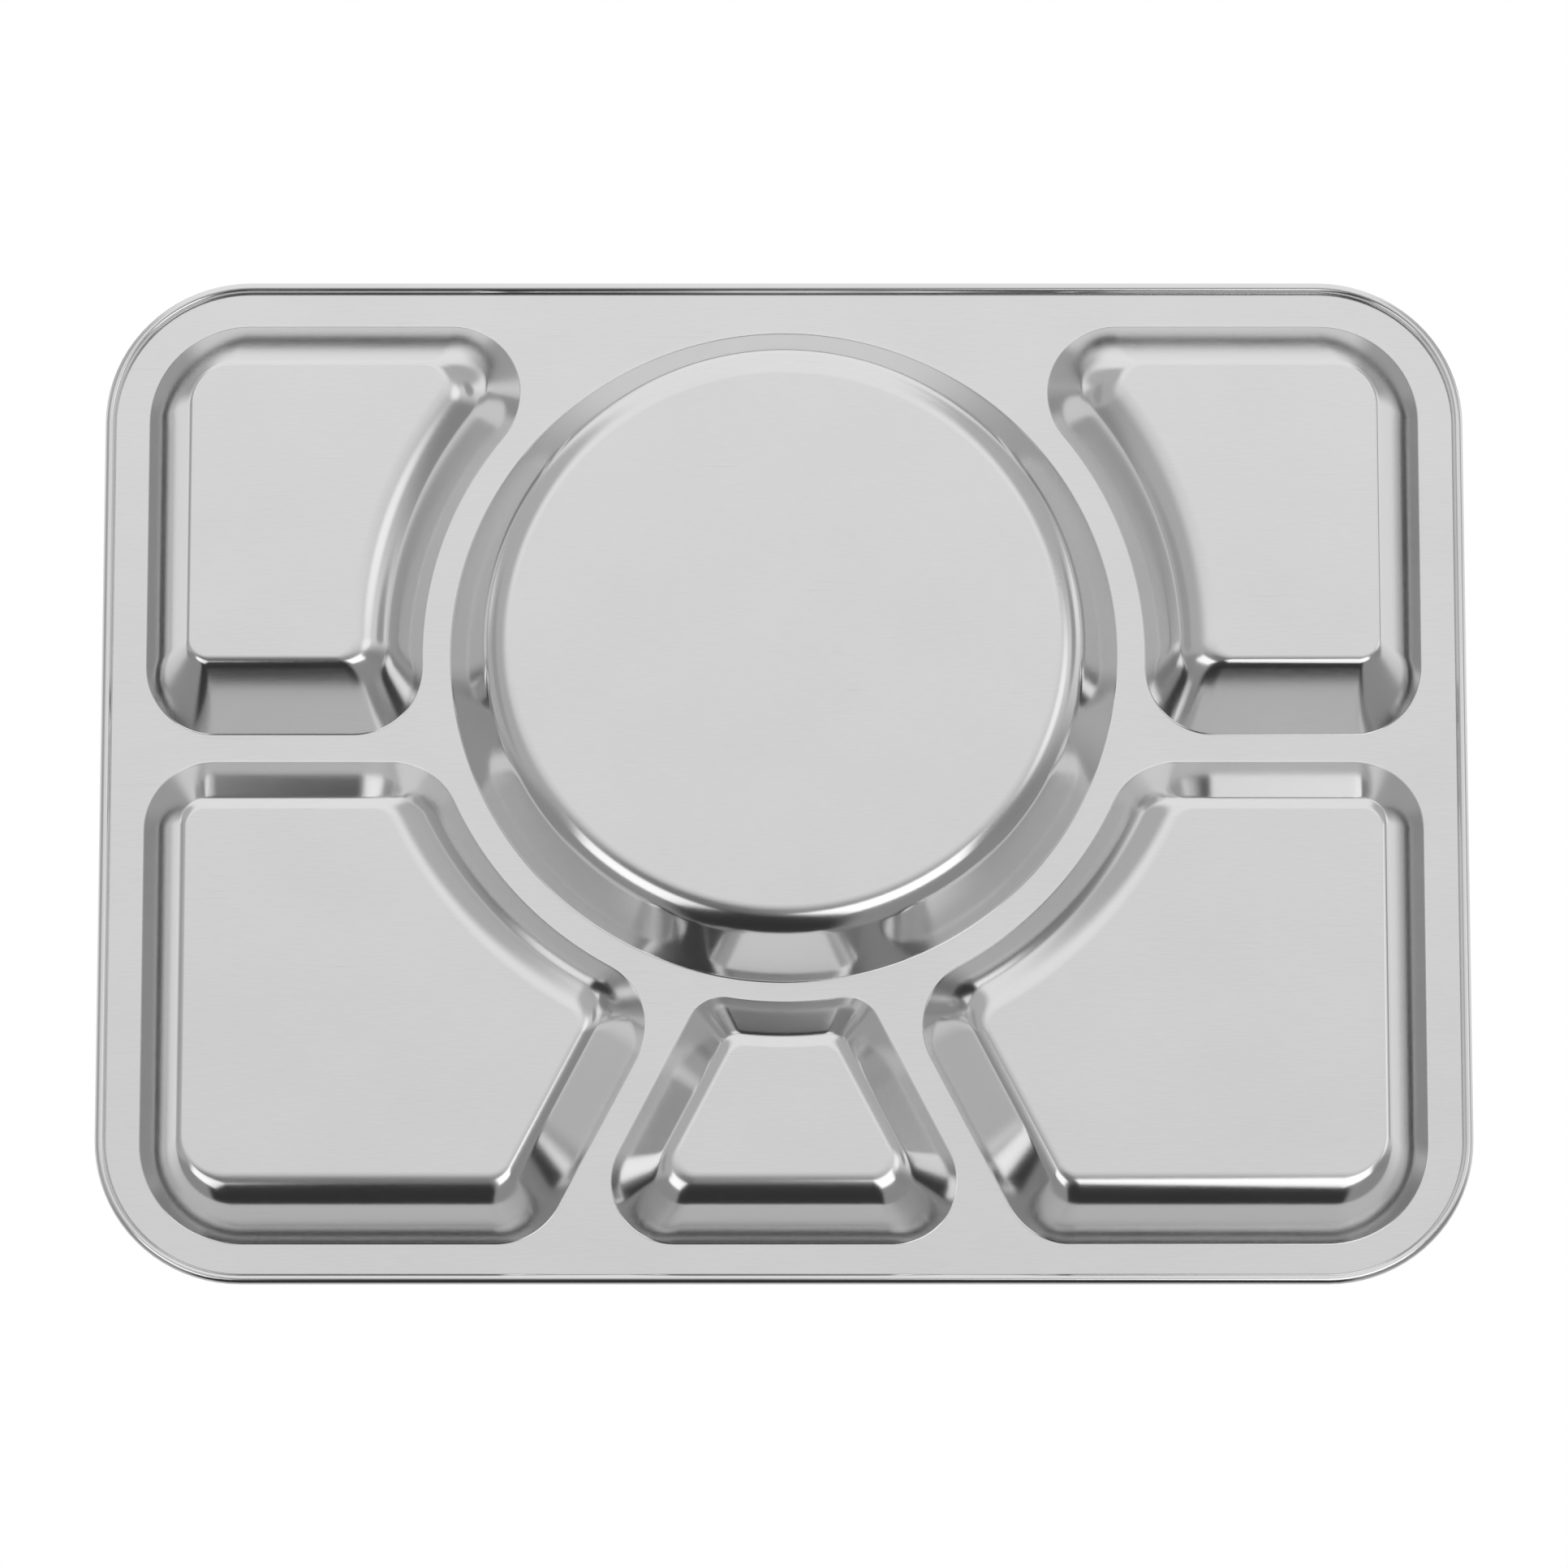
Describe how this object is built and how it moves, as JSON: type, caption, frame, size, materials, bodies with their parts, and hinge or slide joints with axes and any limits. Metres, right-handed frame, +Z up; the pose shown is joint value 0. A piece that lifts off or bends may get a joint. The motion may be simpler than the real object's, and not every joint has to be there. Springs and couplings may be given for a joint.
{
  "type": "compartment food tray",
  "caption": "Pressed stainless steel mess tray: a round main well, side wells that follow it and a front well, in one flat deck with a rolled edge.",
  "frame": {"origin": "under the middle of the tray, on the plane of the round well's floor, which it stands on", "axes": "+X along the tray's length, +Y from the front edge to the rear edge with the round well, +Z up, food side up"},
  "size_m": [0.394, 0.2952, 0.0238],
  "materials": {
    "satin_steel": "satin mill finish with a fine rolling grain along the tray's length"
  },
  "bodies": {
    "root": {"deck_plate": "satin_steel", "rolled_rim": "satin_steel", "round_well": "satin_steel", "rear_left_well": "satin_steel", "rear_right_well": "satin_steel", "front_left_well": "satin_steel", "front_right_well": "satin_steel", "front_centre_well": "satin_steel"}
  },
  "joints": []
}
